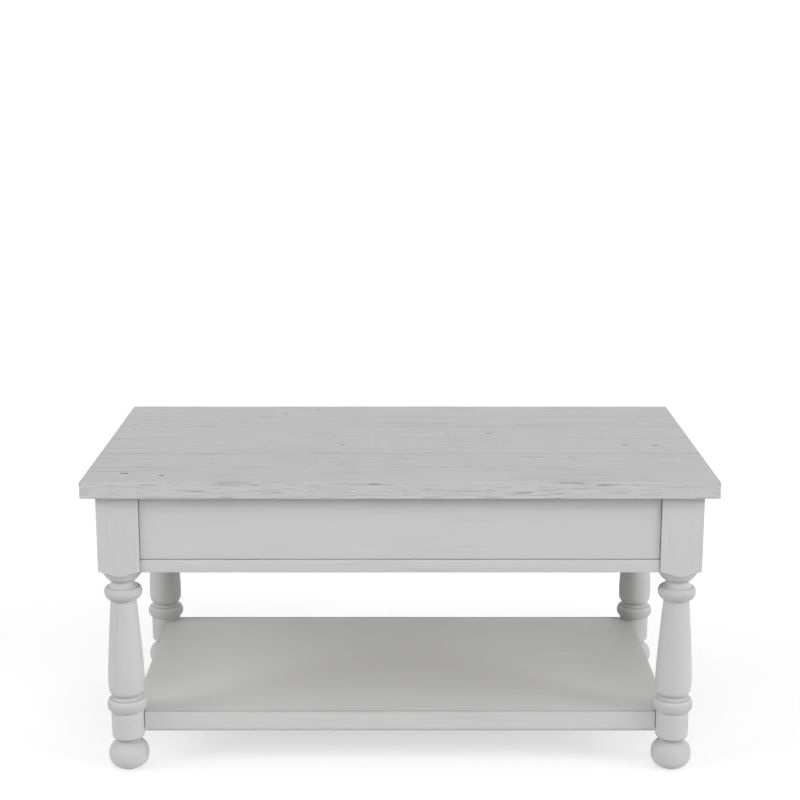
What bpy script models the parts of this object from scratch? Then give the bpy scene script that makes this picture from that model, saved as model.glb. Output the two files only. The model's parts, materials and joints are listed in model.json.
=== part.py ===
"""Lift top coffee table: a planked lid on a sprung parallelogram lift, over a storage box on four turned legs.

Metres. +X is the table's right, +Y its back, +Z up; the origin is on the floor under the table's centre.
"""

import math

import bmesh
import bpy
from mathutils import Vector

GAP = 0.0003

# Overall size
WIDTH = 1.016
DEPTH = 0.550
HEIGHT = 0.505
LID_THICKNESS = 0.027
LID_UNDERSIDE = HEIGHT - LID_THICKNESS
SEAT_HEIGHT = LID_UNDERSIDE - 0.0018

# Joints between the lid's boards, front to back
BOARD_JOINTS_Y = (-0.1802, -0.0900, 0.0198, 0.1084, 0.1877)
BOARD_ARRIS = 0.0007

# Legs: a square block over a turned shaft
LEG_X = 0.4523
LEG_Y = 0.2271
BLOCK_SIDE = 0.0675
BLOCK_CORNER_Z = 0.3500
BLOCK_INNER_X = LEG_X - BLOCK_SIDE / 2
BLOCK_INNER_Y = LEG_Y - BLOCK_SIDE / 2
BLOCK_OUTER_X = LEG_X + BLOCK_SIDE / 2
BLOCK_OUTER_Y = LEG_Y + BLOCK_SIDE / 2
TURNED_STEPS = 20
PIN_STEPS = 16
FOOT_RADIUS = 0.0334
FOOT_TOP = 0.0462
FOOT_MIDDLE = 0.0252
FOOT_HALF_HEIGHT = 0.0248
FOOT_BOTTOM = 0.0028
FOOT_FULLNESS = 2.45
FOOT_STEPS = 7
GLIDE_RADIUS = 0.012
GLIDE_HEIGHT = 0.0025

# Apron panels: a raised field on a thicker back, set in from the blocks' faces
PANEL_RECESS = 0.005
PANEL_THICKNESS = 0.018
FIELD_HEIGHT = 0.004
FIELD_REVEAL = 0.0018
RAIL_RECESS = 0.003
RAIL_BOTTOM = 0.3515
RAIL_TOP = 0.3727
RAIL_LEDGE_WIDTH = 0.012
BOX_FLOOR_BOTTOM = 0.3600
BOX_FLOOR_TOP = 0.3660
CORNER_BLOCK_SIDE = 0.020

# Shelf between the legs' lower drums
SHELF_TOP = 0.0980
SHELF_THICKNESS = 0.0340
SHELF_HALF_X = 0.4468
SHELF_HALF_Y = 0.2281
DRUM_RADIUS = 0.0269
SHELF_ARRIS = 0.0015

# Lift mechanism, for the right-hand side in the YZ plane; all its arms are parallel
ARM_LENGTH = 0.225
ARM_REST_DEG = 10.0
FRONT_PIVOT = (-0.1200, 0.4195)
PIVOT_SPACING = 0.080
PIVOT_LINE_DEG = -20.0
LEVER_LENGTH = 0.030
LEVER_DEG = 210.0
SPRING_LENGTH = 0.170
ARM_HALF_WIDTH = 0.010
EYE_RADIUS = 0.0115
LEVER_EYE_RADIUS = 0.007
PIN_RADIUS = 0.004
PIN_HEAD_RADIUS = 0.007
PIN_HEAD_HEIGHT = 0.0025
SPRING_PIN_RADIUS = 0.003
OPEN_PIVOT_CLEARANCE = 0.0006
PLATE = 0.0025
BASE_PLATE_X = 0.46025
ARM_X = 0.4550
ARM_PLATE = 0.0040
LID_FLANGE_X = 0.4515
FOOT_INNER_X = 0.4290
SPRING_X = 0.4425
SPRING_RADIUS = 0.0070
SPRING_WIRE = 0.0011
SPRING_TURNS = 9
CROSS_TUBE_ALONG = 0.060
CROSS_TUBE_RADIUS = 0.008
CROSS_TUBE_WALL = 0.0015

# Lid battens and pads
BATTEN_X = 0.300
BATTEN_WIDTH = 0.040
BATTEN_HEIGHT = 0.018
BATTEN_HALF_LENGTH = 0.205
PAD_RADIUS = 0.008

SIDES = (("left", -1), ("right", 1))
ENDS = (("front", -1), ("back", 1))

PARTS = None
CUTTERS = None
MATERIALS = {}
FINISHES = {
    "lid_wood": ((0.51, 0.51, 0.51), 0.62, 0.0),
    "frame_wood": ((0.55, 0.55, 0.55), 0.55, 0.0),
    "inner_wood": ((0.50, 0.50, 0.49), 0.70, 0.0),
    "lift_steel": ((0.05, 0.05, 0.055), 0.45, 0.6),
    "pin_steel": ((0.62, 0.62, 0.64), 0.30, 1.0),
    "spring_steel": ((0.45, 0.45, 0.47), 0.35, 1.0),
    "felt": ((0.30, 0.30, 0.30), 0.95, 0.0),
    "nylon": ((0.12, 0.12, 0.12), 0.50, 0.0),
}


def clear_scene():
    for obj in list(bpy.data.objects):
        bpy.data.objects.remove(obj, do_unlink=True)


def make_collections():
    global PARTS, CUTTERS
    PARTS = bpy.data.collections.new("lift_top_coffee_table")
    CUTTERS = bpy.data.collections.new("cutters")
    bpy.context.scene.collection.children.link(PARTS)
    bpy.context.scene.collection.children.link(CUTTERS)


def make_materials():
    for name, (colour, roughness, metallic) in FINISHES.items():
        material = bpy.data.materials.new(name)
        material.use_nodes = True
        shader = material.node_tree.nodes["Principled BSDF"]
        shader.inputs["Base Color"].default_value = (*colour, 1.0)
        shader.inputs["Roughness"].default_value = roughness
        shader.inputs["Metallic"].default_value = metallic
        MATERIALS[name] = material


def add_object(name, mesh, finish):
    """Puts a mesh in the scene as a part, or as a hidden cutter when it has no finish."""
    obj = bpy.data.objects.new(name, mesh)
    if finish:
        mesh.materials.append(MATERIALS[finish])
        PARTS.objects.link(obj)
    else:
        CUTTERS.objects.link(obj)
        obj.hide_render = True
        obj.display_type = "WIRE"
    return obj


def box(name, low, high, finish=None):
    """A block between two corners."""
    low, high = Vector(low), Vector(high)
    size, centre = high - low, (high + low) / 2
    bm = bmesh.new()
    bmesh.ops.create_cube(bm, size=1.0)
    bmesh.ops.scale(bm, vec=size, verts=bm.verts)
    mesh = bpy.data.meshes.new(name)
    bm.to_mesh(mesh)
    bm.free()
    obj = add_object(name, mesh, finish)
    obj.location = centre
    return obj


def rod(name, start, end, radius, finish=None, steps=TURNED_STEPS):
    """A cylinder between two points."""
    start, end = Vector(start), Vector(end)
    along = end - start
    bm = bmesh.new()
    bmesh.ops.create_cone(bm, cap_ends=True, segments=steps, radius1=radius, radius2=radius,
                          depth=along.length)
    mesh = bpy.data.meshes.new(name)
    bm.to_mesh(mesh)
    bm.free()
    mesh.shade_smooth()
    mesh.set_sharp_from_angle(angle=math.radians(40))
    obj = add_object(name, mesh, finish)
    obj.location = (start + end) / 2
    obj.rotation_euler = along.to_track_quat("Z", "X").to_euler()
    return obj


def turned(name, profile, finish=None, steps=TURNED_STEPS):
    """A solid of revolution about Z from (radius, height) points that run top to bottom."""
    bm = bmesh.new()
    verts = [bm.verts.new((radius, 0.0, height)) for radius, height in profile]
    for upper, lower in zip(verts, verts[1:]):
        bm.edges.new((upper, lower))
    mesh = bpy.data.meshes.new(name)
    bm.to_mesh(mesh)
    bm.free()
    obj = add_object(name, mesh, finish)
    screw = obj.modifiers.new("turn", "SCREW")
    screw.axis = "Z"
    screw.steps = steps
    screw.render_steps = steps
    screw.use_merge_vertices = True
    screw.merge_threshold = 0.00001
    screw.use_smooth_shade = True
    return obj


def side_plate(name, outline, x_low, x_high, finish=None):
    """A flat plate whose outline lies in the YZ plane, between two values of X."""
    curve = bpy.data.curves.new(name, "CURVE")
    curve.dimensions = "2D"
    curve.fill_mode = "BOTH"
    curve.extrude = (x_high - x_low) / 2
    spline = curve.splines.new("POLY")
    spline.points.add(len(outline) - 1)
    for point, (y, z) in zip(spline.points, outline):
        point.co = (y, z, 0.0, 1.0)
    spline.use_cyclic_u = True
    guide = bpy.data.objects.new(name + "_outline", curve)
    bpy.context.scene.collection.objects.link(guide)
    mesh = bpy.data.meshes.new_from_object(guide.evaluated_get(bpy.context.evaluated_depsgraph_get()))
    bpy.data.objects.remove(guide, do_unlink=True)
    bm = bmesh.new()
    bm.from_mesh(mesh)
    bmesh.ops.remove_doubles(bm, verts=bm.verts, dist=0.00001)
    bmesh.ops.recalc_face_normals(bm, faces=bm.faces)
    bm.to_mesh(mesh)
    bm.free()
    obj = add_object(name, mesh, finish)
    # The curve's own X, Y and Z become the table's Y, Z and X.
    obj.rotation_euler = (math.pi / 2, 0.0, math.pi / 2)
    obj.location = ((x_low + x_high) / 2, 0.0, 0.0)
    return obj


def combine(obj, other, operation):
    """Booleans a helper solid into a part and hides the helper."""
    modifier = obj.modifiers.new(operation.lower() + "_" + other.name, "BOOLEAN")
    modifier.operation = operation
    modifier.solver = "EXACT"
    modifier.object = other


def soften(obj, width, segments=1):
    """Rounds a part's sharp edges."""
    bevel = obj.modifiers.new("arris", "BEVEL")
    bevel.width = width
    bevel.segments = segments
    bevel.limit_method = "ANGLE"
    bevel.angle_limit = math.radians(50)


def polar(centre, length, degrees):
    """The point at a distance and an angle from a centre, in the YZ plane."""
    angle = math.radians(degrees)
    return (centre[0] + length * math.cos(angle), centre[1] + length * math.sin(angle))


# ---- Legs ----

def bulge(z_high, r_high, z_low, r_low, r_widest, fullness, count):
    """A convex turning between two heights: a superellipse that stands out from the line joining its ends."""
    points = []
    middle, half = (z_high + z_low) / 2, (z_high - z_low) / 2
    for i in range(count + 1):
        angle = math.pi * i / count
        height = math.copysign(abs(math.cos(angle)) ** (2 / fullness), math.cos(angle))
        out = math.sin(angle) ** (2 / fullness)
        share = (1 - height) / 2
        base = r_high + (r_low - r_high) * share
        points.append((base + (r_widest - (r_high + r_low) / 2) * out, middle + half * height))
    return points


def curve_through(points, count):
    """A smooth run through a few (radius, height) points."""
    padded = [points[0], *points, points[-1]]
    result = [points[0]]
    for before, start, end, after in zip(padded, padded[1:], padded[2:], padded[3:]):
        for i in range(1, count + 1):
            t = i / count
            result.append(tuple(
                0.5 * (2 * b + (c - a) * t + (2 * a - 5 * b + 4 * c - d) * t * t
                       + (3 * b - a - 3 * c + d) * t ** 3)
                for a, b, c, d in zip(before, start, end, after)))
    return result


def leg_profile():
    """The turning from the top of the block to the flat under the ball foot."""
    top = [(0.0, SEAT_HEIGHT), (0.0600, SEAT_HEIGHT)]
    shoulder = [(0.0600, 0.3595), (0.0477, BLOCK_CORNER_Z), (0.0352, 0.3402), (0.0268, 0.3332), (0.0204, 0.3252)]
    upper_bead = [(0.0204, 0.3218), *bulge(0.3195, 0.0215, 0.2932, 0.0212, 0.0312, 2.0, 6)]
    vase = [(0.0210, 0.2915), (0.0234, 0.2650), (0.0267, 0.2190), (0.0291, 0.1800), (0.0298, 0.1500)]
    vase_foot = curve_through([(0.0298, 0.1500), (0.0287, 0.1375), (0.0235, 0.1300)], 2)[1:]
    lower_bead = [(0.0230, 0.1262), *bulge(0.1232, 0.0250, 0.1012, 0.0270, 0.0328, 2.0, 6)]
    drum = [(DRUM_RADIUS, 0.0995), (DRUM_RADIUS, 0.0860), (0.0264, 0.0620), (0.0249, 0.0545), (0.0223, 0.0505),
            (0.0220, 0.0475)]
    foot = []
    for i in range(FOOT_STEPS + 1):
        height = FOOT_TOP + (FOOT_BOTTOM - FOOT_TOP) * i / FOOT_STEPS
        share = abs(height - FOOT_MIDDLE) / FOOT_HALF_HEIGHT
        foot.append((FOOT_RADIUS * (1 - share ** FOOT_FULLNESS) ** (1 / FOOT_FULLNESS), height))
    return top + shoulder + upper_bead + vase + vase_foot + lower_bead + drum + foot + [(0.0, FOOT_BOTTOM)]


def make_legs():
    for end, sy in ENDS:
        for side, sx in SIDES:
            name = f"leg_{end}_{side}"
            leg = turned(name, leg_profile(), "frame_wood")
            leg.location = (sx * LEG_X, sy * LEG_Y, 0.0)
            blank = box(f"{name}_blank",
                        (sx * LEG_X - BLOCK_SIDE / 2, sy * LEG_Y - BLOCK_SIDE / 2, -0.01),
                        (sx * LEG_X + BLOCK_SIDE / 2, sy * LEG_Y + BLOCK_SIDE / 2, HEIGHT))
            combine(leg, blank, "INTERSECT")
            rod(f"foot_glide_{end}_{side}", (sx * LEG_X, sy * LEG_Y, 0.0),
                (sx * LEG_X, sy * LEG_Y, GLIDE_HEIGHT), GLIDE_RADIUS, "nylon")


# ---- Frame ----

def make_long_panel(end, sy):
    """The front or back apron panel and the rail under it."""
    face = BLOCK_OUTER_Y - PANEL_RECESS
    inner = face - PANEL_THICKNESS
    half = BLOCK_INNER_X - GAP
    panel = box(f"apron_{end}", *corners((-half, sy * inner, RAIL_TOP + GAP),
                                        (half, sy * (face - FIELD_HEIGHT), SEAT_HEIGHT)), "frame_wood")
    field = box(f"apron_{end}_field", *corners(
        (FIELD_REVEAL - BLOCK_INNER_X, sy * (inner + 0.005), RAIL_TOP + FIELD_REVEAL),
        (BLOCK_INNER_X - FIELD_REVEAL, sy * face, SEAT_HEIGHT)))
    combine(panel, field, "UNION")
    rail = box(f"bottom_rail_{end}", *corners((-half, sy * inner, RAIL_BOTTOM),
                                             (half, sy * (BLOCK_OUTER_Y - RAIL_RECESS), RAIL_TOP)), "frame_wood")
    ledge = box(f"bottom_rail_{end}_ledge", *corners((-half, sy * (inner - RAIL_LEDGE_WIDTH), RAIL_BOTTOM),
                                                     (half, sy * (inner + 0.005), BOX_FLOOR_BOTTOM - GAP)))
    combine(rail, ledge, "UNION")


def make_short_panel(side, sx):
    """The left or right apron panel and the rail under it."""
    face = BLOCK_OUTER_X - PANEL_RECESS
    inner = face - PANEL_THICKNESS
    half = BLOCK_INNER_Y - GAP
    panel = box(f"apron_{side}", *corners((sx * inner, -half, RAIL_TOP + GAP),
                                         (sx * (face - FIELD_HEIGHT), half, SEAT_HEIGHT)), "frame_wood")
    field = box(f"apron_{side}_field", *corners(
        (sx * (inner + 0.005), FIELD_REVEAL - BLOCK_INNER_Y, RAIL_TOP + FIELD_REVEAL),
        (sx * face, BLOCK_INNER_Y - FIELD_REVEAL, SEAT_HEIGHT)))
    combine(panel, field, "UNION")
    rail = box(f"bottom_rail_{side}", *corners((sx * inner, -half, RAIL_BOTTOM),
                                              (sx * (BLOCK_OUTER_X - RAIL_RECESS), half, RAIL_TOP)), "frame_wood")
    ledge = box(f"bottom_rail_{side}_ledge", *corners((sx * (inner - RAIL_LEDGE_WIDTH), -half, RAIL_BOTTOM),
                                                      (sx * (inner + 0.005), half, BOX_FLOOR_BOTTOM - GAP)))
    combine(rail, ledge, "UNION")


def corners(one, other):
    """The low and high corners of the box between two points."""
    return tuple(map(min, one, other)), tuple(map(max, one, other))


def make_box_floor():
    half_x = BLOCK_OUTER_X - PANEL_RECESS - PANEL_THICKNESS - GAP
    half_y = BLOCK_OUTER_Y - PANEL_RECESS - PANEL_THICKNESS - GAP
    floor = box("storage_box_floor", (-half_x, -half_y, BOX_FLOOR_BOTTOM), (half_x, half_y, BOX_FLOOR_TOP),
                "inner_wood")
    for end, sy in ENDS:
        for side, sx in SIDES:
            notch = box(f"floor_notch_{end}_{side}", *corners(
                (sx * (BLOCK_INNER_X - GAP), sy * (BLOCK_INNER_Y - GAP), BOX_FLOOR_BOTTOM - 0.01),
                (sx * (half_x + 0.01), sy * (half_y + 0.01), BOX_FLOOR_TOP + 0.01)))
            combine(floor, notch, "DIFFERENCE")


def make_corner_blocks():
    """A glued block in each corner, behind the long aprons and against a leg."""
    outer_x = BLOCK_INNER_X - GAP
    outer_y = BLOCK_OUTER_Y - PANEL_RECESS - PANEL_THICKNESS - GAP
    for end, sy in ENDS:
        for side, sx in SIDES:
            block = box(f"corner_block_{end}_{side}", *corners(
                (sx * outer_x, sy * outer_y, BOX_FLOOR_TOP + GAP),
                (sx * (outer_x - CORNER_BLOCK_SIDE), sy * (outer_y - CORNER_BLOCK_SIDE), SEAT_HEIGHT - 0.012)),
                "inner_wood")
            soften(block, 0.002)


def make_shelf():
    shelf = box("shelf", (-SHELF_HALF_X, -SHELF_HALF_Y, SHELF_TOP - SHELF_THICKNESS),
                (SHELF_HALF_X, SHELF_HALF_Y, SHELF_TOP), "frame_wood")
    soften(shelf, SHELF_ARRIS)
    notch_radius = (DRUM_RADIUS + GAP) / math.cos(math.pi / TURNED_STEPS)
    for end, sy in ENDS:
        for side, sx in SIDES:
            notch = rod(f"shelf_notch_{end}_{side}", (sx * LEG_X, sy * LEG_Y, SHELF_TOP - SHELF_THICKNESS - 0.01),
                        (sx * LEG_X, sy * LEG_Y, SHELF_TOP + 0.01), notch_radius)
            combine(shelf, notch, "DIFFERENCE")


# ---- Lid ----

def make_lid():
    edges = (-DEPTH / 2, *BOARD_JOINTS_Y, DEPTH / 2)
    for number, (front, back) in enumerate(zip(edges, edges[1:]), 1):
        board = box(f"lid_board_{number}",
                    (-WIDTH / 2, front + (GAP / 2 if number > 1 else 0), LID_UNDERSIDE),
                    (WIDTH / 2, back - (GAP / 2 if number <= len(BOARD_JOINTS_Y) else 0), HEIGHT), "lid_wood")
        soften(board, BOARD_ARRIS)
    for side, sx in SIDES:
        batten = box(f"lid_batten_{side}",
                     (sx * BATTEN_X - BATTEN_WIDTH / 2, -BATTEN_HALF_LENGTH, LID_UNDERSIDE - GAP - BATTEN_HEIGHT),
                     (sx * BATTEN_X + BATTEN_WIDTH / 2, BATTEN_HALF_LENGTH, LID_UNDERSIDE - GAP), "inner_wood")
        soften(batten, 0.003)
    for end, sy in ENDS:
        for side, sx in SIDES:
            rod(f"rest_pad_{end}_{side}", (sx * LEG_X, sy * LEG_Y, SEAT_HEIGHT + GAP),
                (sx * LEG_X, sy * LEG_Y, LID_UNDERSIDE - GAP), PAD_RADIUS, "felt", 16)


# ---- Lift mechanism ----

BACK_PIVOT = polar(FRONT_PIVOT, PIVOT_SPACING, PIVOT_LINE_DEG)
FRONT_LID_PIVOT = polar(FRONT_PIVOT, ARM_LENGTH, ARM_REST_DEG)
BACK_LID_PIVOT = polar(BACK_PIVOT, ARM_LENGTH, ARM_REST_DEG)
LEVER_END = polar(FRONT_PIVOT, LEVER_LENGTH, LEVER_DEG)
SPRING_ANCHOR = (LEVER_END[0] + SPRING_LENGTH, LEVER_END[1])


def bar_outline(start, end, start_radius, end_radius, half_width):
    """A straight bar of constant width with a round eye at each end."""
    heading = math.degrees(math.atan2(end[1] - start[1], end[0] - start[0]))
    outline = []
    for centre, radius, turn in ((end, end_radius, heading), (start, start_radius, heading + 180)):
        reach = 180 - math.degrees(math.asin(min(1.0, half_width / radius)))
        for i in range(9):
            outline.append(polar(centre, radius, turn - reach + 2 * reach * i / 8))
    return outline


def mirror_x(sx, x_low, x_high):
    return tuple(sorted((sx * x_low, sx * x_high)))


def drill(obj, centre, radius, x_low, x_high, sx):
    """A round hole through a side plate."""
    cutter = rod(f"{obj.name}_hole_{len(obj.modifiers)}", (sx * (x_low - 0.004), *centre),
                 (sx * (x_high + 0.004), *centre), radius, steps=PIN_STEPS)
    combine(obj, cutter, "DIFFERENCE")


def make_base_bracket(side, sx):
    """The plate on the apron, its foot on the box floor and the lug that holds the spring."""
    foot_top = BOX_FLOOR_TOP + GAP + PLATE
    front, back = FRONT_PIVOT[0] - 0.025, SPRING_ANCHOR[0] + 0.016
    bottom = BOX_FLOOR_TOP + GAP
    top = FRONT_PIVOT[1] + 0.014
    outline = [(front, bottom), (back, bottom), (back, foot_top + 0.008),
               (BACK_PIVOT[0] + 0.022, BACK_PIVOT[1] + 0.014), (FRONT_PIVOT[0] + 0.024, top), (front, top)]
    outer = BASE_PLATE_X + PLATE
    bracket = side_plate(f"base_bracket_{side}", outline, *mirror_x(sx, BASE_PLATE_X, outer), "lift_steel")
    foot = box(f"base_bracket_{side}_foot", *corners((sx * FOOT_INNER_X, front, bottom),
                                                     (sx * (outer - 0.001), back, foot_top)))
    combine(bracket, foot, "UNION")
    lug = side_plate(f"base_bracket_{side}_lug",
                     [(SPRING_ANCHOR[0] - 0.012, bottom + 0.001), (SPRING_ANCHOR[0] + 0.012, bottom + 0.001),
                      (SPRING_ANCHOR[0] + 0.007, SPRING_ANCHOR[1] + 0.009),
                      (SPRING_ANCHOR[0] - 0.007, SPRING_ANCHOR[1] + 0.009)],
                     *mirror_x(sx, FOOT_INNER_X, FOOT_INNER_X + PLATE))
    combine(bracket, lug, "UNION")
    for pivot in (FRONT_PIVOT, BACK_PIVOT):
        drill(bracket, pivot, PIN_RADIUS + GAP, BASE_PLATE_X, outer, sx)
    drill(bracket, SPRING_ANCHOR, SPRING_PIN_RADIUS + GAP, FOOT_INNER_X, FOOT_INNER_X + PLATE, sx)


def make_lid_bracket(side, sx):
    """The angle under the lid that carries the arms' upper pins."""
    top = LID_UNDERSIDE - GAP
    front, back = FRONT_LID_PIVOT[0] - 0.020, BACK_LID_PIVOT[0] + 0.012
    low = BACK_LID_PIVOT[1] - 0.012
    outline = [(front, top), (front, FRONT_LID_PIVOT[1] - 0.012), (front + 0.008, FRONT_LID_PIVOT[1] - 0.014),
               (BACK_LID_PIVOT[0] - 0.013, low), (back, low), (back, top)]
    outer = LID_FLANGE_X + PLATE
    bracket = side_plate(f"lid_bracket_{side}", outline, *mirror_x(sx, LID_FLANGE_X, outer), "lift_steel")
    flange = box(f"lid_bracket_{side}_flange", *corners((sx * FOOT_INNER_X, -0.110, top - PLATE),
                                                        (sx * (outer - 0.001), back, top)))
    combine(bracket, flange, "UNION")
    for pivot in (FRONT_LID_PIVOT, BACK_LID_PIVOT):
        drill(bracket, pivot, PIN_RADIUS + GAP, LID_FLANGE_X, outer, sx)


def make_arms(side, sx):
    inner, outer = ARM_X, ARM_X + ARM_PLATE
    front_arm = side_plate(f"front_arm_{side}",
                           bar_outline(FRONT_PIVOT, FRONT_LID_PIVOT, EYE_RADIUS, EYE_RADIUS, ARM_HALF_WIDTH),
                           *mirror_x(sx, inner, outer), "lift_steel")
    lever = side_plate(f"front_arm_{side}_lever",
                       bar_outline(LEVER_END, FRONT_PIVOT, LEVER_EYE_RADIUS, LEVER_EYE_RADIUS + 0.001,
                                   LEVER_EYE_RADIUS - 0.0005),
                       *mirror_x(sx, inner, outer))
    combine(front_arm, lever, "UNION")
    for pivot in (FRONT_PIVOT, FRONT_LID_PIVOT):
        drill(front_arm, pivot, PIN_RADIUS + GAP, inner, outer, sx)
    drill(front_arm, LEVER_END, SPRING_PIN_RADIUS + GAP, inner, outer, sx)
    back_arm = side_plate(f"back_arm_{side}",
                          bar_outline(BACK_PIVOT, BACK_LID_PIVOT, EYE_RADIUS, EYE_RADIUS, ARM_HALF_WIDTH),
                          *mirror_x(sx, inner, outer), "lift_steel")
    drill(back_arm, BACK_PIVOT, PIN_RADIUS + GAP, inner, outer, sx)
    drill(back_arm, BACK_LID_PIVOT, PIN_RADIUS + OPEN_PIVOT_CLEARANCE, inner, outer, sx)


def make_pin(name, centre, x_tail, x_head, radius, head_radius, sx):
    """A rivet: a shank from its tail to its head, which lies beyond x_head."""
    direction = math.copysign(1.0, x_head - x_tail)
    pin = rod(name, (sx * x_tail, *centre), (sx * (x_head + direction * 0.001), *centre), radius, "pin_steel",
              PIN_STEPS)
    head = rod(f"{name}_head", (sx * x_head, *centre), (sx * (x_head + direction * PIN_HEAD_HEIGHT), *centre),
               head_radius, steps=PIN_STEPS)
    combine(pin, head, "UNION")


def make_pins(side, sx):
    base_outer = BASE_PLATE_X + PLATE - GAP
    arm_inner, arm_outer = ARM_X - 0.0005, ARM_X + ARM_PLATE + GAP
    for name, pivot in (("front", FRONT_PIVOT), ("back", BACK_PIVOT)):
        make_pin(f"base_pin_{name}_{side}", pivot, base_outer, arm_inner, PIN_RADIUS, PIN_HEAD_RADIUS, sx)
    for name, pivot in (("front", FRONT_LID_PIVOT), ("back", BACK_LID_PIVOT)):
        make_pin(f"lid_pin_{name}_{side}", pivot, LID_FLANGE_X, arm_outer, PIN_RADIUS, PIN_HEAD_RADIUS - 0.0005, sx)
    make_pin(f"lever_pin_{side}", LEVER_END, ARM_X + ARM_PLATE, SPRING_X - 0.0030, SPRING_PIN_RADIUS, 0.0042, sx)
    make_pin(f"spring_anchor_pin_{side}", SPRING_ANCHOR, FOOT_INNER_X, SPRING_X + 0.0030, SPRING_PIN_RADIUS,
             0.0042, sx)


def spring_path(sx):
    """An eye round the lever's pin, close turns along Y, and an eye round the anchor pin."""
    height = LEVER_END[1]
    eye = SPRING_PIN_RADIUS + SPRING_WIRE + 0.0008
    coil = SPRING_RADIUS - SPRING_WIRE
    coil_start = LEVER_END[0] + 0.016
    coil_end = SPRING_ANCHOR[0] - 0.016
    per_turn = 8
    points = []
    for i in range(7):
        angle = math.radians(60 + 250 * i / 6)
        points.append((sx * SPRING_X, LEVER_END[0] + eye * math.cos(angle), height + eye * math.sin(angle)))
    points.append((sx * SPRING_X, coil_start - 0.004, height - 0.0005))
    for i in range(SPRING_TURNS * per_turn + 1):
        angle = 2 * math.pi * i / per_turn
        along = coil_start + (coil_end - coil_start) * i / (SPRING_TURNS * per_turn)
        points.append((sx * (SPRING_X + coil * math.sin(angle)), along, height + coil * math.cos(angle)))
    points.append((sx * SPRING_X, coil_end + 0.004, height + 0.0005))
    for i in range(7):
        angle = math.radians(130 - 250 * i / 6)
        points.append((sx * SPRING_X, SPRING_ANCHOR[0] + eye * math.cos(angle), height + eye * math.sin(angle)))
    return points


def make_spring(side, sx):
    path = spring_path(sx)
    curve = bpy.data.curves.new(f"lift_spring_{side}", "CURVE")
    curve.dimensions = "3D"
    curve.bevel_depth = SPRING_WIRE
    curve.bevel_resolution = 1
    curve.use_fill_caps = True
    spline = curve.splines.new("POLY")
    spline.points.add(len(path) - 1)
    for point, place in zip(spline.points, path):
        point.co = (*place, 1.0)
    curve.materials.append(MATERIALS["spring_steel"])
    spring = bpy.data.objects.new(f"lift_spring_{side}", curve)
    PARTS.objects.link(spring)


def make_cross_tube():
    """The tube that makes both front arms turn together."""
    centre = polar(FRONT_PIVOT, CROSS_TUBE_ALONG, ARM_REST_DEG)
    half = ARM_X - GAP
    tube = rod("cross_tube", (-half, *centre), (half, *centre), CROSS_TUBE_RADIUS, "lift_steel")
    bore = rod("cross_tube_bore", (-half - 0.01, *centre), (half + 0.01, *centre),
               CROSS_TUBE_RADIUS - CROSS_TUBE_WALL)
    combine(tube, bore, "DIFFERENCE")


def main():
    clear_scene()
    make_collections()
    make_materials()
    make_legs()
    for end, sy in ENDS:
        make_long_panel(end, sy)
    for side, sx in SIDES:
        make_short_panel(side, sx)
    make_box_floor()
    make_corner_blocks()
    make_shelf()
    make_lid()
    for side, sx in SIDES:
        make_base_bracket(side, sx)
        make_lid_bracket(side, sx)
        make_arms(side, sx)
        make_pins(side, sx)
        make_spring(side, sx)
    make_cross_tube()


main()
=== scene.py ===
"""Looks of the lift top coffee table: brushed planks, painted turnings, the sprung lift, a white studio."""

import itertools
import json
import math

import bmesh
import bpy
import numpy as np
from mathutils import Matrix, Vector


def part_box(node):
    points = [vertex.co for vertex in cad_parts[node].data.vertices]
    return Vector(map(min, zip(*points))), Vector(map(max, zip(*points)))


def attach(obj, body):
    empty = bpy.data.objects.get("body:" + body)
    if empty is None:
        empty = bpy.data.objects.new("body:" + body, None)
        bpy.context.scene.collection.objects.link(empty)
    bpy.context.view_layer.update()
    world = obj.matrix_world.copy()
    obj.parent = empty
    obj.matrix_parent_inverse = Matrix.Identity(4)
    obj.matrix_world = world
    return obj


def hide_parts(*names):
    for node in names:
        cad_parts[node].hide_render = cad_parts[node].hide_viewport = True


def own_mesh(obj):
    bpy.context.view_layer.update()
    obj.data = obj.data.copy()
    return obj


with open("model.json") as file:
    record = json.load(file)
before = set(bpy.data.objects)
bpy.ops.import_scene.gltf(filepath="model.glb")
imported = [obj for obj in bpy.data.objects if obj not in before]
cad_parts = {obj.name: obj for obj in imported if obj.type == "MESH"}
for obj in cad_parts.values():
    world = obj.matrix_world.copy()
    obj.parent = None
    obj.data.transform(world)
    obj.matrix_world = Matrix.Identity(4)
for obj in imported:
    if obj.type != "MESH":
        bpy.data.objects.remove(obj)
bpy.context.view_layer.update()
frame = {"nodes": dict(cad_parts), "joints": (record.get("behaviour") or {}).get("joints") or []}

SIDES = (("left", -1), ("right", 1))
ENDS = (("front", -1), ("back", 1))
MM = 0.001
GAP = 0.3 * MM
WELD = 0.002 * MM  # points closer than this are merged
SMOOTH_ANGLE = math.radians(32)

# Camera
CAMERA_PLACE = (0.0, -2.75048, 1.18334)
CAMERA_PITCH = math.radians(12.413)
CAMERA_LENS = 73.04
SENSOR = 36.0

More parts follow.
